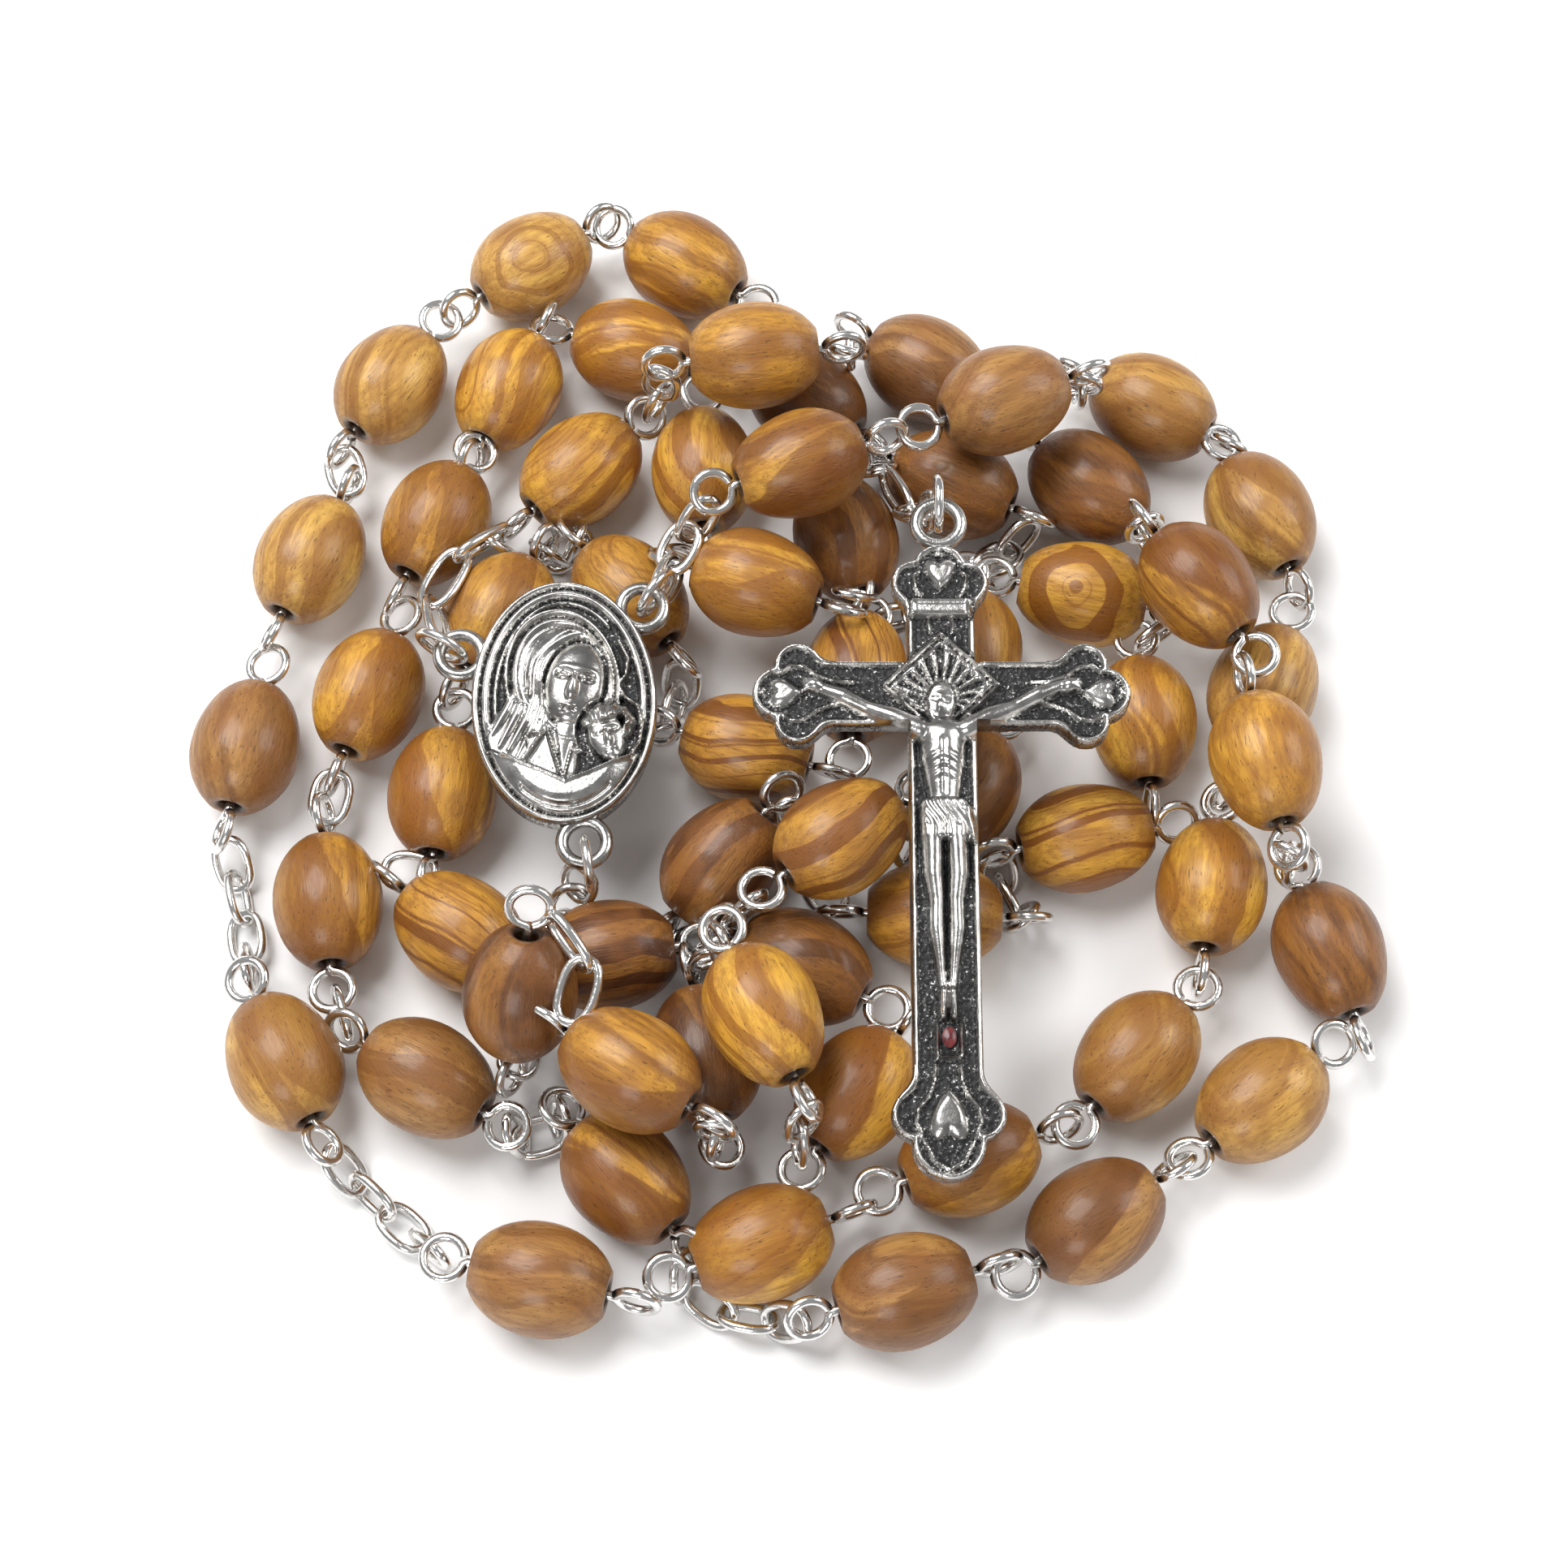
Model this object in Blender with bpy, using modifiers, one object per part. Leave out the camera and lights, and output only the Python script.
"""A five-decade olive-wood rosary, lying in a heap with its crucifix and centre medal on top.

Every bead is a drilled oval that spins on the wire running through it.  The crucifix swings about
its jump ring and the medal rocks about its two upper loops.  The heap is settled by a small
deterministic solver, so the pieces stay clear of each other when a size changes.
"""
import math

import bmesh
import bpy
import numpy as np
from mathutils import Matrix, Vector

MM = 0.001

# Driving dimensions, in millimetres.
BEAD_DIAMETER = 7.6
BEAD_LENGTH = 9.2
BEAD_FACE = 3.0            # diameter of the small flat around each hole
WIRE_DIAMETER = 0.7
BORE_CLEARANCE = 0.4       # between the wire and the side of a bead's hole
EYE_REACH = 2.9            # from a bead's face to the inside of its eye loop
LINK_INSIDE = 2.8          # inner length of an oval link
LOOP_DIAMETER = 3.0        # cast loops of the medal and the crucifix, on the centre line
RING_SLACK = 0.4           # how much wider than a cast loop its jump ring is
LOOP_WIRE = 0.9
CROSS_LENGTH = 43.0
CROSS_WIDTH = 25.0
CROSS_THICKNESS = 1.8
CROSS_HEAD = 10.6          # from the top of the cross to the middle of its arms
BEAM_WIDTH = 4.5
LOBE_DIAMETER = 2.9        # one lobe of a trefoil end
MEDAL_WIDTH = 12.6
MEDAL_HEIGHT = 17.6
MEDAL_THICKNESS = 1.8
CLEARANCE = 0.36           # between settled pieces
CORPUS_HEIGHT = 15.0       # about the figure on the cross from head to feet

# Sizes that follow from them.
BORE_DIAMETER = WIRE_DIAMETER + 2 * BORE_CLEARANCE
RING_DIAMETER = LOOP_DIAMETER + RING_SLACK

# Fineness.
BEAD_STEPS = 10
BEAD_STATIONS = 7          # odd, so that one station is at the bead's widest
WIRE_STEP = 2.4            # longest straight of wire between two beads

# Diameter plus length of the bead that the plan below is drawn for; it grows with the beads.
PLAN_BEAD = 16.8
PLAN_SCALE = (BEAD_DIAMETER + BEAD_LENGTH) / PLAN_BEAD

# The heap, bead by bead along the chain: x and y of the bead's centre and the level it lies at,
# in millimetres, then the heading of its hole and its pitch, in degrees.
DECADE_1 = [
    (1, 21.5, 11, 20, 0), (14.5, 25.5, 10, 20, 0), (26, 29.5, 4, -30, 0), (34, 22, 4, -68, 0),
    (33.5, 8.5, 4, -112, 0), (28.5, -7, 4, -100, 0), (23.5, -19, 4, -132, 0),
    (12, -26, 4, -160, 0), (-1.5, -32, 8, -160, 0), (-15.5, -34, 4, 167, 0),
]
FATHER_1 = [(-32.5, -19.5, 4, 117, 0)]
DECADE_2 = [
    (-37, 4, 4, 80, 0), (-33.5, 18, 4, 68, 0), (-28, 33, 4, 58, 0), (-19, 43, 4, 36, 0),
    (-8, 42.5, 4, -32, 0), (3, 32, 4, -42, 0), (4, 20.5, 4, -75, 0), (21, 15, 6, -12, 0),
    (25, 5.5, 5, -88, 0), (20.5, -3, 4, -170, 0),
]
FATHER_2 = [(9, -9, 4, 178, 0)]
DECADE_3 = [
    (-5, -5.5, 4, -135, -25), (1.5, -13, 4, -28, 0), (5, -21.5, 4, -125, 0),
    (-1.5, -18, 11, 115, 0), (-6.5, -16.5, 4, -80, 0), (-10.5, -23, 11, 148, 0),
    (-18, -17, 7, -102, -50), (-21, -10, 5, 142, 0), (-24.5, 0.5, 4, 84, 0),
    (-20.5, 14, 4, 62, 0),
]
FATHER_3 = [(-10, 15.5, 4, -52, 0)]
DECADE_4 = [
    (-1, 3, 4, -16, 0), (5, 8, 4, 85, 0), (-1, 15.5, 5, 162, 0), (-6.5, 25.5, 4, 92, 0),
    (-12, 36, 4, 163, 0), (-20, 33, 4, -113, 0), (-25.5, 21, 4, -114, 0), (-29, 7.5, 4, -108, 0),
    (-30, -8.5, 4, -84, 0), (-23, -19.5, 4, -31, 0),
]
FATHER_4 = [(-10, -27.5, 4, -48, 0)]
DECADE_5 = [
    (7, -34.5, 4, 16, 0), (20, -30, 4, 34, 0), (31.5, -22, 4, 38, 0), (36, -11.5, 4, 106, 0),
    (32, 0.5, 10, 100, 0), (28, 13, 8, 124, 0), (20, 24.5, 4, 136, 0), (9.5, 34, 4, 147, 0),
    (-2.5, 30, 11, -174, 0), (-14.5, 25.5, 4, -136, 0),
]
FATHER_5 = [(-12, -11, 4, 8, 0)]
PENDANT = [(3, -5.5, 10, 35, 0), (13.5, 1.5, 4, 62, 0), (14, 10, 4, 90, 0)]
FATHER_6 = [(12, 23.5, 4, 155, 0)]

LOOP_GROUPS = [
    ("hail_1", DECADE_1), ("father_1", FATHER_1), ("hail_2", DECADE_2), ("father_2", FATHER_2),
    ("hail_3", DECADE_3), ("father_3", FATHER_3), ("hail_4", DECADE_4), ("father_4", FATHER_4),
    ("hail_5", DECADE_5),
]
PENDANT_GROUPS = [("father_5", FATHER_5), ("hail_pendant", PENDANT), ("father_6", FATHER_6)]

# Beads that lie buried in the heap and are one piece with the wire here.
BURIED = ("hail_3_01", "hail_3_05", "hail_3_10")

# Beads with an oval link between their eye and the next bead's.
ONE_LINK = ("hail_2_07", "hail_5_08", "hail_5_09")

# Points that the longer stretches of chain pass through, in millimetres, by the bead they leave.
VIA = {
    "medal_right": [(-8, 15, 12), (-6, 18, 13)],
    "hail_1_10": [(-23.5, -31.5, 1), (-27.5, -28, 1)],
    "father_1": [(-36, -11.5, 1), (-38, -6, 1)],
    "hail_2_10": [(15.5, -6.5, 1)],
    "hail_3_10": [(-16.5, 20, 3)],
    "father_3": [(-6.5, 9, 2)],
    "hail_4_10": [(-16, -24.5, 1)],
    "father_4": [(-4, -35.5, 1), (0, -37, 1)],
    "hail_5_10": [(-20, 22, 3), (-22, 17, 8)],
    "medal_bottom": [(-15.5, -8, 7)],
    "father_5": [(-6, -9, 10)],
    "hail_pendant_03": [(15.5, 18, 4)],
    "father_6": [(8, 23.5, 8)],
}

# The crucifix and the medal: where their swinging axes are, how they are turned in plan, and how
# far they lean from the level, in degrees.
CROSS_AT = (10.3, 17.6)
CROSS_TURN = 0.0
CROSS_LEAN = (5.0, 0.0)
MEDAL_AT = (-15.4, 5.0)
MEDAL_TURN = 2.0
MEDAL_LEAN = (4.0, 2.0)
MEDAL_LOOP_ANGLES = (52.0, 152.0, -83.0)


def material(name, colour, metallic, roughness):
    """A plain Principled material."""
    made = bpy.data.materials.new(name)
    made.use_nodes = True
    shader = made.node_tree.nodes["Principled BSDF"]
    shader.inputs["Base Color"].default_value = (*colour, 1.0)
    shader.inputs["Metallic"].default_value = metallic
    shader.inputs["Roughness"].default_value = roughness
    return made


def heading_vector(heading, pitch):
    """Unit vector along a bead's hole."""
    flat = math.cos(math.radians(pitch))
    turn = math.radians(heading)
    return np.array([flat * math.cos(turn), flat * math.sin(turn), math.sin(math.radians(pitch))])


def chain_beads(groups):
    """Names, start points, directions for the beads of some groups, in chain order."""
    beads = []
    for label, rows in groups:
        for number, (x, y, level, heading, pitch) in enumerate(rows, 1):
            name = label if len(rows) == 1 else f"{label}_{number:02d}"
            beads.append((name, np.array([x, y, level], float), heading_vector(heading, pitch)))
    return beads


def bead_long_radius():
    """Half length of the ellipse whose cut-off ends are the bead's flat faces."""
    share = BEAD_FACE / BEAD_DIAMETER
    return BEAD_LENGTH / 2 / math.sqrt(1 - share * share)


# A bead is treated as three balls on its axis while the heap settles.
BALL_RADIUS = BEAD_DIAMETER / 2
BALL_REACH = max(bead_long_radius() - BALL_RADIUS, 0.0)
BALL_PLACES = np.array([-BALL_REACH, 0.0, BALL_REACH])

# From a bead's middle to the end of the straight wire that sticks out of it.
STUB_REACH = BEAD_LENGTH / 2 + WIRE_DIAMETER

# Solver: turns in all and turns with pulling, then what each pulling turn moves.
SETTLE_TURNS = 900
PULL_TURNS = 500
SINK_STEP = 0.04           # millimetres
LINK_PULL = 0.06           # share of what a link is too short or too long
PLACE_PULL = 0.06          # share of the way back to the planned place
WIRE_TURNS = 620
WIRE_PULL_TURNS = 400
WIRE_SINK_STEP = 0.02      # millimetres
WIRE_SMOOTHING = 0.25


def balls(centres, axes):
    """Centres of every bead's three balls, as an array of beads by balls by xyz."""
    return centres[:, None, :] + BALL_PLACES[None, :, None] * axes[:, None, :]


def push_beads_apart(centres, axes):
    """Move every pair of beads that is too close apart by what it lacks."""
    count = len(centres)
    points = balls(centres, axes).reshape(-1, 3)
    owner = np.repeat(np.arange(count), len(BALL_PLACES))
    apart = points[:, None, :] - points[None, :, :]
    distance = np.linalg.norm(apart, axis=2) + np.eye(len(points))
    lack = BEAD_DIAMETER + CLEARANCE - distance
    lack[owner[:, None] == owner[None, :]] = 0
    lack[lack < 0] = 0
    move = (apart / distance[:, :, None] * lack[:, :, None] * 0.5)
    shift = np.zeros_like(centres)
    weight = np.zeros(count)
    for index in range(count):
        rows = move[owner == index]
        hits = lack[owner == index] > 0
        weight[index] = hits.sum()
        shift[index] = rows.sum(axis=(0, 1))
    used = weight > 0
    centres[used] += shift[used] / np.maximum(weight[used, None] * 0.5, 1)


def push_off_stubs(centres, axes):
    """Move beads away from the wire ends that stick out of other beads."""
    count = len(centres)
    points = balls(centres, axes)
    for sign in (-1, 1):
        ends = centres + sign * STUB_REACH * axes
        apart = ends[:, None, None, :] - points[None, :, :, :]
        distance = np.linalg.norm(apart, axis=3)
        lack = np.maximum(BALL_RADIUS + WIRE_DIAMETER / 2 + CLEARANCE / 2 - distance, 0)
        lack[np.arange(count), np.arange(count), :] = 0
        move = (apart / distance[:, :, :, None] * lack[:, :, :, None]).sum(axis=2) * 0.3
        centres += move.sum(axis=1) - move.sum(axis=0)


def hold_on_floor(centres, axes):
    """Keep every bead's lowest point on or above the ground."""
    lowest = BALL_RADIUS + BALL_REACH * np.abs(axes[:, 2])
    centres[:, 2] = np.maximum(centres[:, 2], lowest)


def keep_linked(centres, axes, joints):
    """Keep the faces of neighbouring beads as far apart as the links between them allow."""
    half = BEAD_LENGTH / 2
    for first, second, shortest, longest in joints:
        start = centres[first] + axes[first] * half
        end = centres[second] - axes[second] * half
        gap = end - start
        length = np.linalg.norm(gap)
        wanted = min(max(length, shortest), longest)
        push = gap / max(length, 1e-6) * (wanted - length) * LINK_PULL
        centres[first, :2] -= push[:2]
        centres[second, :2] += push[:2]


def settle_beads(beads, joints):
    """Let the heap sink and spread until no bead touches another."""
    targets = np.array([bead[1] for bead in beads])
    axes = np.array([bead[2] for bead in beads])
    targets = targets * PLAN_SCALE
    centres = targets.copy()
    for turn in range(SETTLE_TURNS):
        if turn < PULL_TURNS:
            centres[:, :2] += (targets[:, :2] - centres[:, :2]) * PLACE_PULL
            centres[:, 2] -= SINK_STEP
            keep_linked(centres, axes, joints)
        push_off_stubs(centres, axes)
        push_beads_apart(centres, axes)
        hold_on_floor(centres, axes)
    return centres, axes


def link_limits(beads):
    """Neighbouring beads with the shortest and longest chain between them."""
    joints = []
    for index in range(len(beads) - 1):
        name, following = beads[index][0], beads[index + 1][0]
        if following == "father_5":
            continue
        long = "father" in name or "father" in following
        links = 3 if long else 1 if name in ONE_LINK else 0
        longest = EYE_REACH * 2 + LINK_INSIDE * links
        joints.append((index, index + 1, EYE_REACH, longest))
    return joints


def lifted_clear(outline, thickness, rings, place, turn, lean, centres, axes):
    """Pose of a flat piece lowered onto the beads, leaning as told, clear of them all."""
    place = (place[0] * PLAN_SCALE, place[1] * PLAN_SCALE)
    tilt = Matrix.Rotation(math.radians(turn), 4, "Z")
    tilt = tilt @ Matrix.Rotation(math.radians(lean[0]), 4, "X")
    tilt = tilt @ Matrix.Rotation(math.radians(lean[1]), 4, "Y")
    rotation = np.array(tilt.to_3x3())
    points = (balls(centres, axes).reshape(-1, 3) - np.array([place[0], place[1], 0])) @ rotation
    reach = BALL_RADIUS + CLEARANCE
    height = 0.0
    for point in points:
        gap = outline(point[0], point[1])
        if gap < reach:
            needed = point[2] + math.sqrt(reach * reach - gap * gap) + thickness / 2
            height = max(height, needed)
        for x, y in rings:
            gap = math.hypot(point[0] - x, point[1] - y)
            ring_reach = reach + (RING_DIAMETER + WIRE_DIAMETER) / 2
            if gap < ring_reach:
                height = max(height, point[2] + math.sqrt(ring_reach ** 2 - gap * gap))
    shift = rotation @ np.array([0, 0, height])
    return Matrix.Translation(Vector((place[0] + shift[0], place[1] + shift[1], shift[2]))) @ tilt


def box_gap(x, y, box):
    """Distance in plan from a point to a box given as x0, x1, y0, y1."""
    across = max(box[0] - x, 0, x - box[1])
    along = max(box[2] - y, 0, y - box[3])
    return math.hypot(across, along)


def cross_top():
    """Where the cross begins below the middle of its loop's upper wire."""
    return -LOOP_DIAMETER - LOOP_WIRE / 4


def cross_gap(x, y):
    """Distance in plan from a point to the crucifix, whose loop's upper wire is at the origin."""
    top = cross_top()
    arm_y = top - CROSS_HEAD
    side = LOBE_DIAMETER * 1.3
    stem = (-side, side, top - CROSS_LENGTH, LOOP_WIRE)
    arms = (-CROSS_WIDTH / 2, CROSS_WIDTH / 2, arm_y - side, arm_y + side)
    return min(box_gap(x, y, stem), box_gap(x, y, arms))


def medal_gap(x, y):
    """Distance in plan from a point to the medal, whose middle is at the origin."""
    reach = math.hypot(x / (MEDAL_WIDTH / 2), y / (MEDAL_HEIGHT / 2))
    if reach <= 1:
        return 0.0
    return math.hypot(x, y) * (1 - 1 / reach)


def arc(centre, radius, start, end, count):
    """Points along an arc, with angles in degrees."""
    angles = np.linspace(math.radians(start), math.radians(end), count)
    return [(centre[0] + radius * math.cos(a), centre[1] + radius * math.sin(a)) for a in angles]


def trefoil_end(length):
    """Right-hand end of one beam, drawn along +X from its lower side to its upper side."""
    radius = LOBE_DIAMETER / 2
    neck = length - LOBE_DIAMETER * 2.1
    half = BEAM_WIDTH / 2
    side = (length - LOBE_DIAMETER * 1.15, LOBE_DIAMETER * 0.72)
    lower = [(neck, -half)]
    lower += arc((side[0], -side[1]), radius, 235, 385, 5)
    tip = arc((length - radius, 0), radius, -62, 62, 5)
    upper = [(x, -y) for x, y in reversed(lower)]
    return lower + tip + upper


def cross_outline():
    """Outline of the crucifix about the crossing of its beams."""
    corner = BEAM_WIDTH / 2
    half = CROSS_WIDTH / 2
    lengths = [half, CROSS_HEAD, half, CROSS_LENGTH - CROSS_HEAD]
    points = []
    for quarter, length in enumerate(lengths):
        turn = math.radians(90 * quarter)
        local = trefoil_end(length) + [(corner * 1.45, corner * 1.45)]
        for x, y in local:
            points.append((x * math.cos(turn) - y * math.sin(turn),
                           x * math.sin(turn) + y * math.cos(turn)))
    return points


def curve_mesh(name, data):
    """Mesh object made from a curve, with its loose caps welded on."""
    curve = bpy.data.objects.new(name, data)
    bpy.context.scene.collection.objects.link(curve)
    bpy.context.view_layer.update()
    evaluated = curve.evaluated_get(bpy.context.evaluated_depsgraph_get())
    mesh = bpy.data.meshes.new_from_object(evaluated)
    work = bmesh.new()
    work.from_mesh(mesh)
    bmesh.ops.remove_doubles(work, verts=work.verts, dist=0.00001)
    bmesh.ops.recalc_face_normals(work, faces=work.faces)
    work.to_mesh(mesh)
    work.free()
    made = bpy.data.objects.new(name, mesh)
    made.matrix_world = curve.matrix_world.copy()
    bpy.data.objects.remove(curve)
    made.name = name
    return made


def plate(name, points, thickness):
    """Flat plate from an outline in millimetres, its middle plane at z = 0."""
    data = bpy.data.curves.new(name, "CURVE")
    data.dimensions = "2D"
    data.fill_mode = "BOTH"
    data.extrude = thickness / 2 * MM
    spline = data.splines.new("POLY")
    spline.points.add(len(points) - 1)
    for point, (x, y) in zip(spline.points, points):
        point.co = (x * MM, y * MM, 0, 1)
    spline.use_cyclic_u = True
    return curve_mesh(name, data)


def torus(name, ring_diameter, wire_diameter, matrix):
    """Ring mesh object, placed by a matrix in millimetres."""
    bpy.ops.mesh.primitive_torus_add(major_segments=16, minor_segments=6,
                                     major_radius=ring_diameter / 2 * MM,
                                     minor_radius=wire_diameter / 2 * MM)
    made = bpy.context.active_object
    made.name = name
    made.matrix_world = metres(matrix)
    return made


def metres(matrix):
    """The same placing with its shift turned from millimetres into metres."""
    placed = matrix.copy()
    placed.translation = matrix.translation * MM
    return placed


def fuse(base, pieces, cutters):
    """Unite pieces with a base object, which keeps the modifiers."""
    for piece in pieces:
        for collection in list(piece.users_collection):
            collection.objects.unlink(piece)
        cutters.objects.link(piece)
        piece.hide_render = True
        piece.display_type = "WIRE"
        union = base.modifiers.new("union_" + piece.name, "BOOLEAN")
        union.operation = "UNION"
        union.object = piece


def bead_profile(drilled):
    """Half section of a bead: down its outer side, and back up the bore if it is drilled."""
    half = BEAD_LENGTH / 2
    long_radius = bead_long_radius()
    heights = [half * math.sin(angle)
               for angle in np.linspace(math.pi / 2, -math.pi / 2, BEAD_STATIONS)]
    outer = [(BEAD_DIAMETER / 2 * math.sqrt(1 - (z / long_radius) ** 2), z) for z in heights]
    inner = BORE_DIAMETER / 2 if drilled else 0.0
    return [(inner, half)] + outer + [(inner, -half)]


def bead_mesh(name, drilled):
    """Profile mesh that a Screw modifier turns into a bead about Z."""
    mesh = bpy.data.meshes.new(name)
    points = [(radius * MM, 0, z * MM) for radius, z in bead_profile(drilled)]
    edges = [(i, i + 1) for i in range(len(points) - 1)]
    if drilled:
        edges.append((len(points) - 1, 0))
    mesh.from_pydata(points, edges, [])
    return mesh


def make_bead(name, mesh, finish):
    """One bead object that shares the profile mesh."""
    bead = bpy.data.objects.new(name, mesh)
    turn = bead.modifiers.new("turned", "SCREW")
    turn.axis = "Z"
    turn.steps = BEAD_STEPS
    turn.render_steps = BEAD_STEPS
    turn.use_merge_vertices = True
    turn.merge_threshold = 0.00001
    turn.use_smooth_shade = True
    if not mesh.materials:
        mesh.materials.append(finish)
    return bead


def bead_matrix(centre, axis):
    """Placing of a bead whose hole runs along Z, with one edge of its facets pointing down."""
    along = Vector(axis).normalized()
    down = Vector((0, 0, -1))
    side = (down - along * down.dot(along)).normalized()
    other = along.cross(side)
    turn = Matrix((side, other, along)).transposed().to_4x4()
    return Matrix.Translation(Vector(centre)) @ turn


def straight_run(centre, axis):
    """Wire through one bead, with a short stub past each face."""
    return [centre - axis * STUB_REACH, centre + axis * STUB_REACH]


def spread_points(points):
    """The same path with extra points so that no straight is longer than WIRE_STEP."""
    path = [points[0]]
    for start, end in zip(points[:-1], points[1:]):
        pieces = max(1, math.ceil(np.linalg.norm(end - start) / WIRE_STEP))
        for step in range(1, pieces + 1):
            path.append(start + (end - start) * step / pieces)
    return path


def clear_path(paths, fixed, centres, axes, plates):
    """Ease every free stretch of wire clear of beads, plates and the other stretches."""
    ball_points = balls(centres, axes).reshape(-1, 3)
    need = math.hypot(BALL_RADIUS + WIRE_DIAMETER / 2 + CLEARANCE, WIRE_STEP / 2)
    apart_need = math.hypot(WIRE_DIAMETER + CLEARANCE, WIRE_STEP * math.sqrt(0.5))
    for turn in range(WIRE_TURNS):
        for index, path in enumerate(paths):
            inner = path[1:-1]
            if not len(inner):
                continue
            if turn < WIRE_PULL_TURNS:
                inner += ((path[:-2] + path[2:]) / 2 - inner) * WIRE_SMOOTHING
                inner[:, 2] -= WIRE_SINK_STEP
            others = np.concatenate([p for i, p in enumerate(paths) if i != index] + [fixed])
            firm = 1.0 if turn % 4 == 3 else 0.5
            for solid, reach, share in ((others, apart_need, 0.5), (ball_points, need, firm)):
                gap = inner[:, None, :] - solid[None, :, :]
                distance = np.linalg.norm(gap, axis=2) + 1e-9
                lack = np.maximum(reach - distance, 0)
                inner += (gap / distance[:, :, None] * lack[:, :, None]).sum(axis=1) * share
            for pose, outline, thickness in plates:
                press_under(inner, pose, outline, thickness)
            inner[:, 2] = np.maximum(inner[:, 2], WIRE_DIAMETER / 2 + 0.05)
    return paths


def press_under(points, pose, outline, thickness):
    """Move points that come too near a flat piece to the side of it they are already on."""
    back = pose.inverted()
    reach = thickness / 2 + WIRE_DIAMETER / 2 + CLEARANCE
    for row in range(len(points)):
        local = back @ Vector(points[row])
        if outline(local.x, local.y) < WIRE_DIAMETER and abs(local.z) < reach:
            local.z = -reach if local.z < 0 else reach
            points[row] = pose @ local


def wire_object(name, path, finish):
    """Tube along a path of points in millimetres."""
    data = bpy.data.curves.new(name, "CURVE")
    data.dimensions = "3D"
    data.bevel_depth = WIRE_DIAMETER / 2 * MM
    data.bevel_resolution = 2
    data.use_fill_caps = True
    spline = data.splines.new("POLY")
    spline.points.add(len(path) - 1)
    for point, place in zip(spline.points, path):
        point.co = (place[0] * MM, place[1] * MM, place[2] * MM, 1)
    made = curve_mesh(name, data)
    made.data.materials.append(finish)
    return made


def ring_pose(pose, where, outward):
    """Ring standing across a flat piece, centred on the far side of one of its loops."""
    radial = Vector((math.cos(outward), math.sin(outward), 0))
    centre = Vector((where[0], where[1], 0)) + radial * LOOP_DIAMETER / 2
    normal = Vector((-radial.y, radial.x, 0))
    turn = Matrix((radial, Vector((0, 0, 1)), normal)).transposed().to_4x4()
    return pose @ Matrix.Translation(centre) @ turn


def medal_loop_place(angle):
    """Centre of one of the medal's loops about the medal's middle, and its outward angle."""
    turn = math.radians(angle)
    edge = 1 / math.hypot(math.cos(turn) / (MEDAL_WIDTH / 2), math.sin(turn) / (MEDAL_HEIGHT / 2))
    reach = edge + LOOP_DIAMETER / 2 - LOOP_WIRE / 4
    return (reach * math.cos(turn), reach * math.sin(turn)), turn


def medal_ring_place(angle):
    """Centre of the ring that hangs in one of the medal's loops, about the medal's middle."""
    (x, y), turn = medal_loop_place(angle)
    reach = LOOP_DIAMETER / 2
    return x + reach * math.cos(turn), y + reach * math.sin(turn)


def bounds(parts):
    """Lowest and highest world corner over some objects, as evaluated."""
    graph = bpy.context.evaluated_depsgraph_get()
    low = Vector((1e9, 1e9, 1e9))
    high = -low
    for part in parts:
        evaluated = part.evaluated_get(graph)
        mesh = evaluated.to_mesh()
        for vertex in mesh.vertices:
            place = evaluated.matrix_world @ vertex.co
            for axis in range(3):
                low[axis] = min(low[axis], place[axis])
                high[axis] = max(high[axis], place[axis])
        evaluated.to_mesh_clear()
    return low, high


def make_crucifix(pose, finish, cutters):
    """Cast crucifix whose origin is the middle of its loop's upper wire."""
    crossing = cross_top() - CROSS_HEAD
    cross = plate("crucifix", [(x, y + crossing) for x, y in cross_outline()], CROSS_THICKNESS)
    cross.data.materials.append(finish)
    loop_centre = Matrix.Translation((0, -LOOP_DIAMETER / 2, 0))
    loop = torus("crucifix_loop", LOOP_DIAMETER, LOOP_WIRE, loop_centre)
    loop.parent = cross
    pieces = [loop] + corpus(crossing)
    for piece in pieces[1:]:
        piece.parent = cross
    fuse(cross, pieces, cutters)
    cross.matrix_world = metres(pose)
    return cross


def corpus(crossing):
    """Plain figure on the cross: head, body and two arms, as rounded solids."""
    front = CROSS_THICKNESS / 2
    size = CORPUS_HEIGHT
    arm = (size * 0.24, size * 0.032, 0.75)
    shapes = [
        ("corpus_head", (0, crossing + size * 0.12, front - 0.1), (size * 0.055, size * 0.075, 1), 5),
        ("corpus_chest", (0, crossing - size * 0.1, front - 0.2), (size * 0.09, size * 0.2, 1.1), 3),
        ("corpus_legs", (0, crossing - size * 0.5, front - 0.3), (size * 0.065, size * 0.31, 1.1), -4),
        ("corpus_arm_left", (-size * 0.25, crossing + size * 0.05, front - 0.25), arm, -14),
        ("corpus_arm_right", (size * 0.25, crossing + size * 0.05, front - 0.25), arm, 14),
    ]
    made = []
    for name, centre, radii, turn in shapes:
        bpy.ops.mesh.primitive_uv_sphere_add(segments=12, ring_count=6, radius=1)
        shape = bpy.context.active_object
        shape.name = name
        place = Matrix.Translation(Vector(centre) * MM)
        place = place @ Matrix.Rotation(math.radians(turn), 4, "Z")
        shape.data.transform(Matrix.Diagonal((*[r * MM for r in radii], 1)))
        shape.matrix_world = place
        made.append(shape)
    return made


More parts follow.
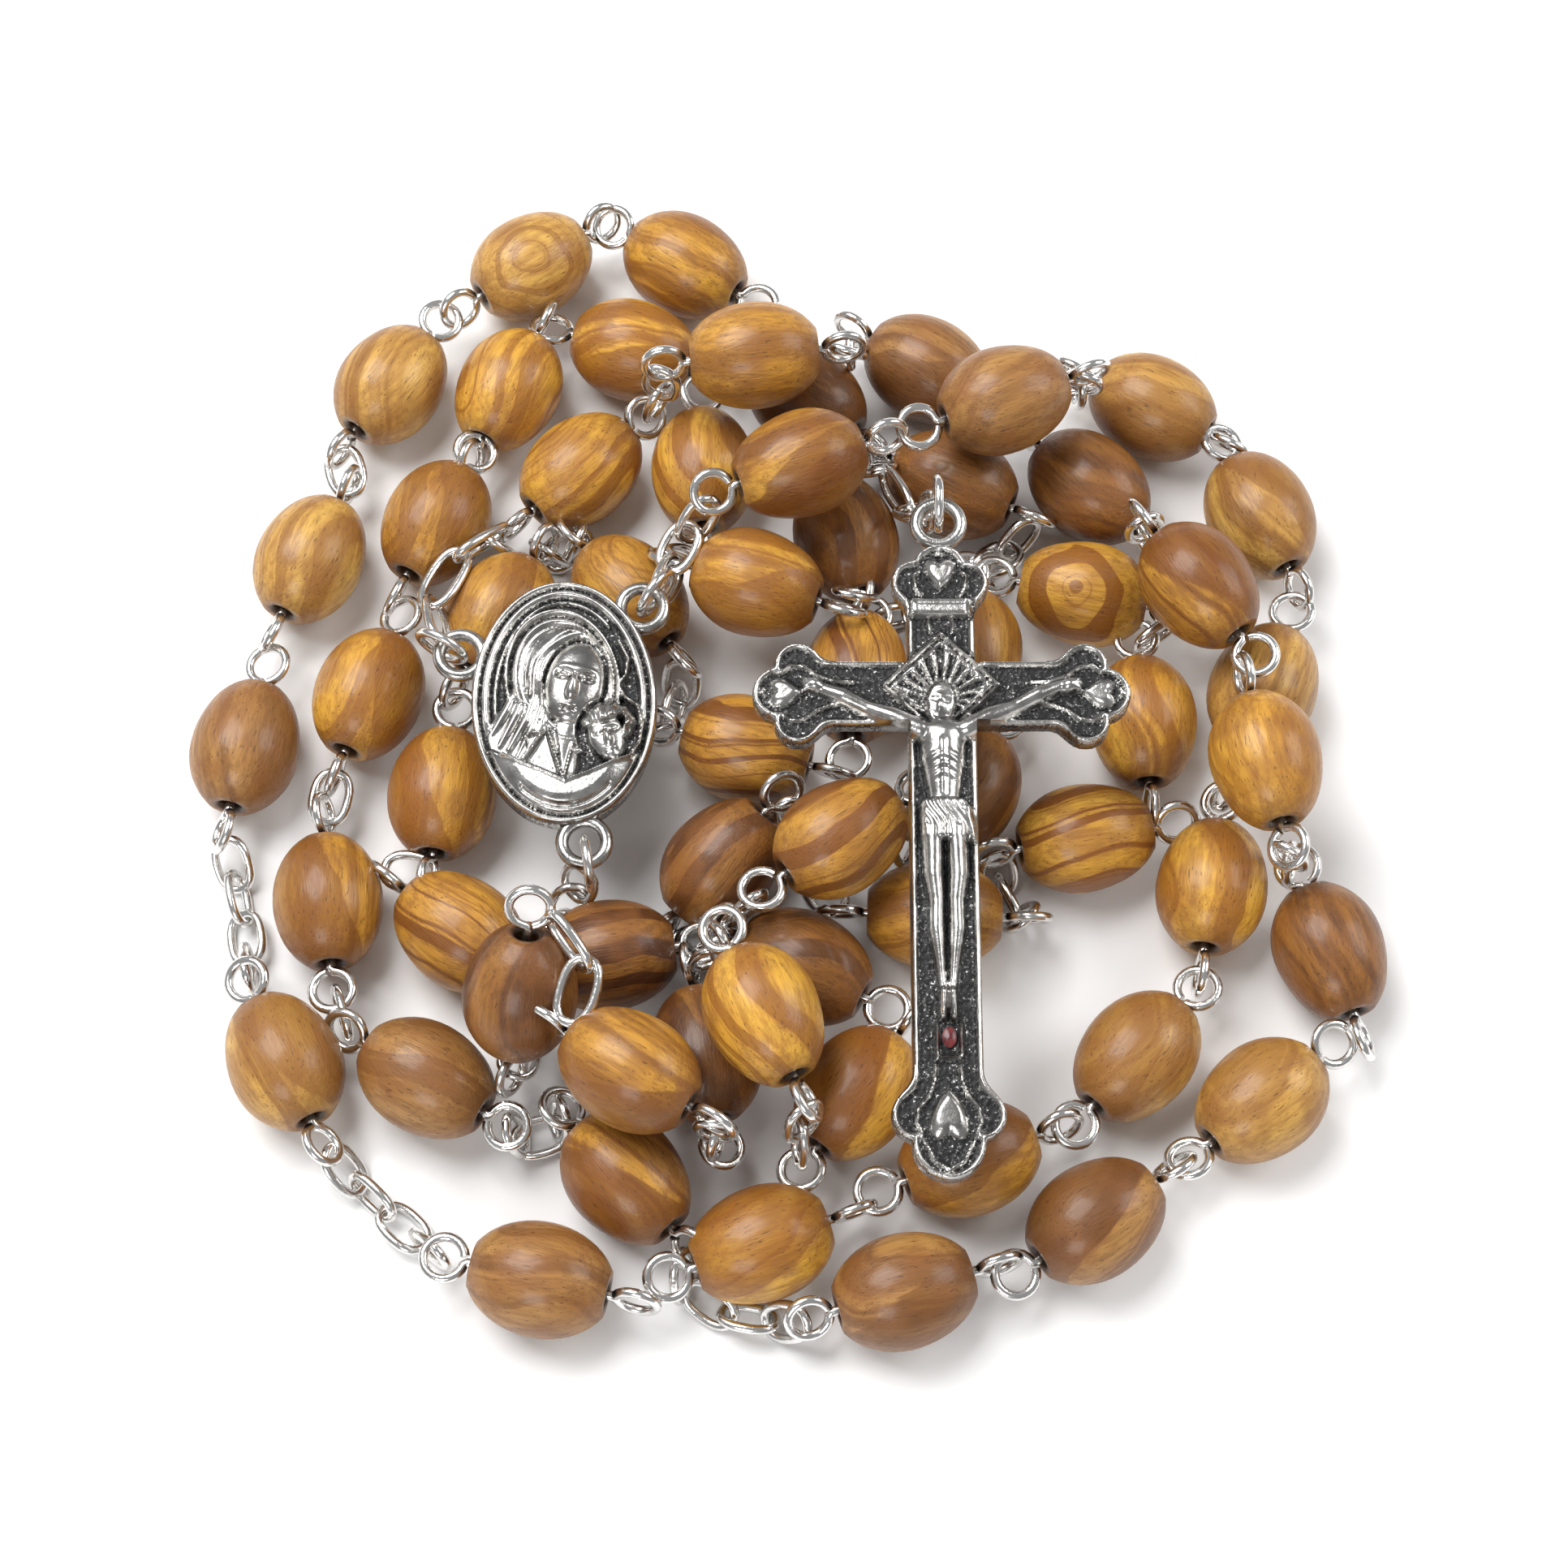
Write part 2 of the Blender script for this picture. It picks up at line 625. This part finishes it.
def make_medal(pose, finish, cutters):
    """Cast oval medal with its three loops, its origin at its middle."""
    outline = [(x * MEDAL_WIDTH / 2, y * MEDAL_HEIGHT / 2) for x, y in arc((0, 0), 1, 0, 350, 36)]
    medal = plate("centre_medal", outline, MEDAL_THICKNESS)
    medal.data.materials.append(finish)
    loops = []
    for number, angle in enumerate(MEDAL_LOOP_ANGLES):
        (x, y), _ = medal_loop_place(angle)
        loop = torus(f"medal_loop_{number}", LOOP_DIAMETER, LOOP_WIRE, Matrix.Translation((x, y, 0)))
        loop.parent = medal
        loops.append(loop)
    fuse(medal, loops, cutters)
    medal.matrix_world = metres(pose)
    return medal


def free_run(start, via, end):
    """Path of a stretch of chain before it is eased clear."""
    points = [start] + [np.array(point, float) * PLAN_SCALE for point in via] + [end]
    return np.array(spread_points(points))


def chain_routes(beads, centres, axes, ring_poses, plates):
    """Whole paths of the loop chain and the pendant chain, eased clear of the heap."""
    runs = [straight_run(centre, axis) for centre, axis in zip(centres, axes)]
    ends = {}
    for label, pose in ring_poses.items():
        ends[label] = np.array(pose @ Vector((RING_DIAMETER / 2, 0, 0)))
    loop_count = sum(len(rows) for _, rows in LOOP_GROUPS)
    stretches = []
    orders = [range(loop_count), range(loop_count, len(beads))]
    for order, (first, last) in zip(orders, (("medal_right", "medal_left"),
                                              ("medal_bottom", "cross_ring"))):
        start = ends[first]
        via = VIA.get(first, [])
        for index in order:
            stretches.append(free_run(start, via, runs[index][0]))
            start = runs[index][1]
            via = VIA.get(beads[index][0], [])
        stretches.append(free_run(start, via, ends[last]))
    fixed = [point for run in runs for point in run]
    for pose in ring_poses.values():
        fixed += [np.array(pose @ Vector((x, y, 0))) for x, y in arc((0, 0), RING_DIAMETER / 2, 0, 315, 8)]
    fixed = np.array(fixed)
    clear_path(stretches, fixed, centres, axes, plates)
    loop = np.concatenate(stretches[:loop_count + 1])
    pendant = np.concatenate(stretches[loop_count + 1:])
    return loop, pendant


def build():
    """Make the whole rosary."""
    for item in list(bpy.data.objects):
        bpy.data.objects.remove(item)
    rosary = bpy.data.collections.new("rosary")
    cutters = bpy.data.collections.new("cutters")
    bpy.context.scene.collection.children.link(rosary)
    bpy.context.scene.collection.children.link(cutters)

    wood = material("olive_wood", (0.46, 0.26, 0.11), 0.0, 0.35)
    wire = material("bright_wire", (0.78, 0.78, 0.78), 1.0, 0.2)
    silver = material("antiqued_silver", (0.5, 0.5, 0.5), 1.0, 0.35)

    beads = chain_beads(LOOP_GROUPS + PENDANT_GROUPS)
    centres, axes = settle_beads(beads, link_limits(beads))

    cross_pose = lifted_clear(cross_gap, CROSS_THICKNESS, [(0, 0)], CROSS_AT, CROSS_TURN,
                              CROSS_LEAN, centres, axes)
    medal_rings = [medal_ring_place(angle) for angle in MEDAL_LOOP_ANGLES[:2]]
    medal_pose = lifted_clear(medal_gap, MEDAL_THICKNESS, medal_rings, MEDAL_AT, MEDAL_TURN,
                              MEDAL_LEAN, centres, axes)

    ring_poses = {"cross_ring": ring_pose(cross_pose, (0, -LOOP_DIAMETER / 2), math.pi / 2)}
    for label, angle in zip(("medal_right", "medal_left", "medal_bottom"), MEDAL_LOOP_ANGLES):
        where, outward = medal_loop_place(angle)
        ring_poses[label] = ring_pose(medal_pose, where, outward)
    plates = [(cross_pose, cross_gap, CROSS_THICKNESS), (medal_pose, medal_gap, MEDAL_THICKNESS)]
    loop_path, pendant_path = chain_routes(beads, centres, axes, ring_poses, plates)

    drilled = bead_mesh("bead", True)
    solid = bead_mesh("buried_bead", False)
    parts = [make_crucifix(cross_pose, silver, cutters), make_medal(medal_pose, silver, cutters)]
    buried = []
    for (name, _, _), centre, axis in zip(beads, centres, axes):
        if name in BURIED:
            bead = make_bead(name, solid, wood)
            buried.append(bead)
            bpy.context.scene.collection.objects.link(bead)
        else:
            bead = make_bead(name, drilled, wood)
            parts.append(bead)
        bead.matrix_world = metres(bead_matrix(centre, axis))

    loop_chain = wire_object("loop_chain", loop_path, wire)
    rings = [torus("ring_" + label, RING_DIAMETER, WIRE_DIAMETER, ring_poses[label])
             for label in ("medal_right", "medal_left")]
    fuse(loop_chain, rings + buried, cutters)
    pendant_chain = wire_object("pendant_chain", pendant_path, wire)
    ring = torus("ring_cross", RING_DIAMETER, WIRE_DIAMETER, ring_poses["cross_ring"])
    fuse(pendant_chain, [ring], cutters)
    parts += [loop_chain, pendant_chain]

    base = bpy.data.objects.new("rosary_base", None)
    rosary.objects.link(base)
    for part in parts:
        rosary.objects.link(part)
        part.parent = base
    for cutter in cutters.objects:
        if cutter.parent is None:
            cutter.parent = base
    bpy.context.view_layer.update()
    low, high = bounds(parts)
    base.location = (-(low.x + high.x) / 2, -(low.y + high.y) / 2, -low.z)
    bpy.context.view_layer.update()
    return beads, centres, axes


build()
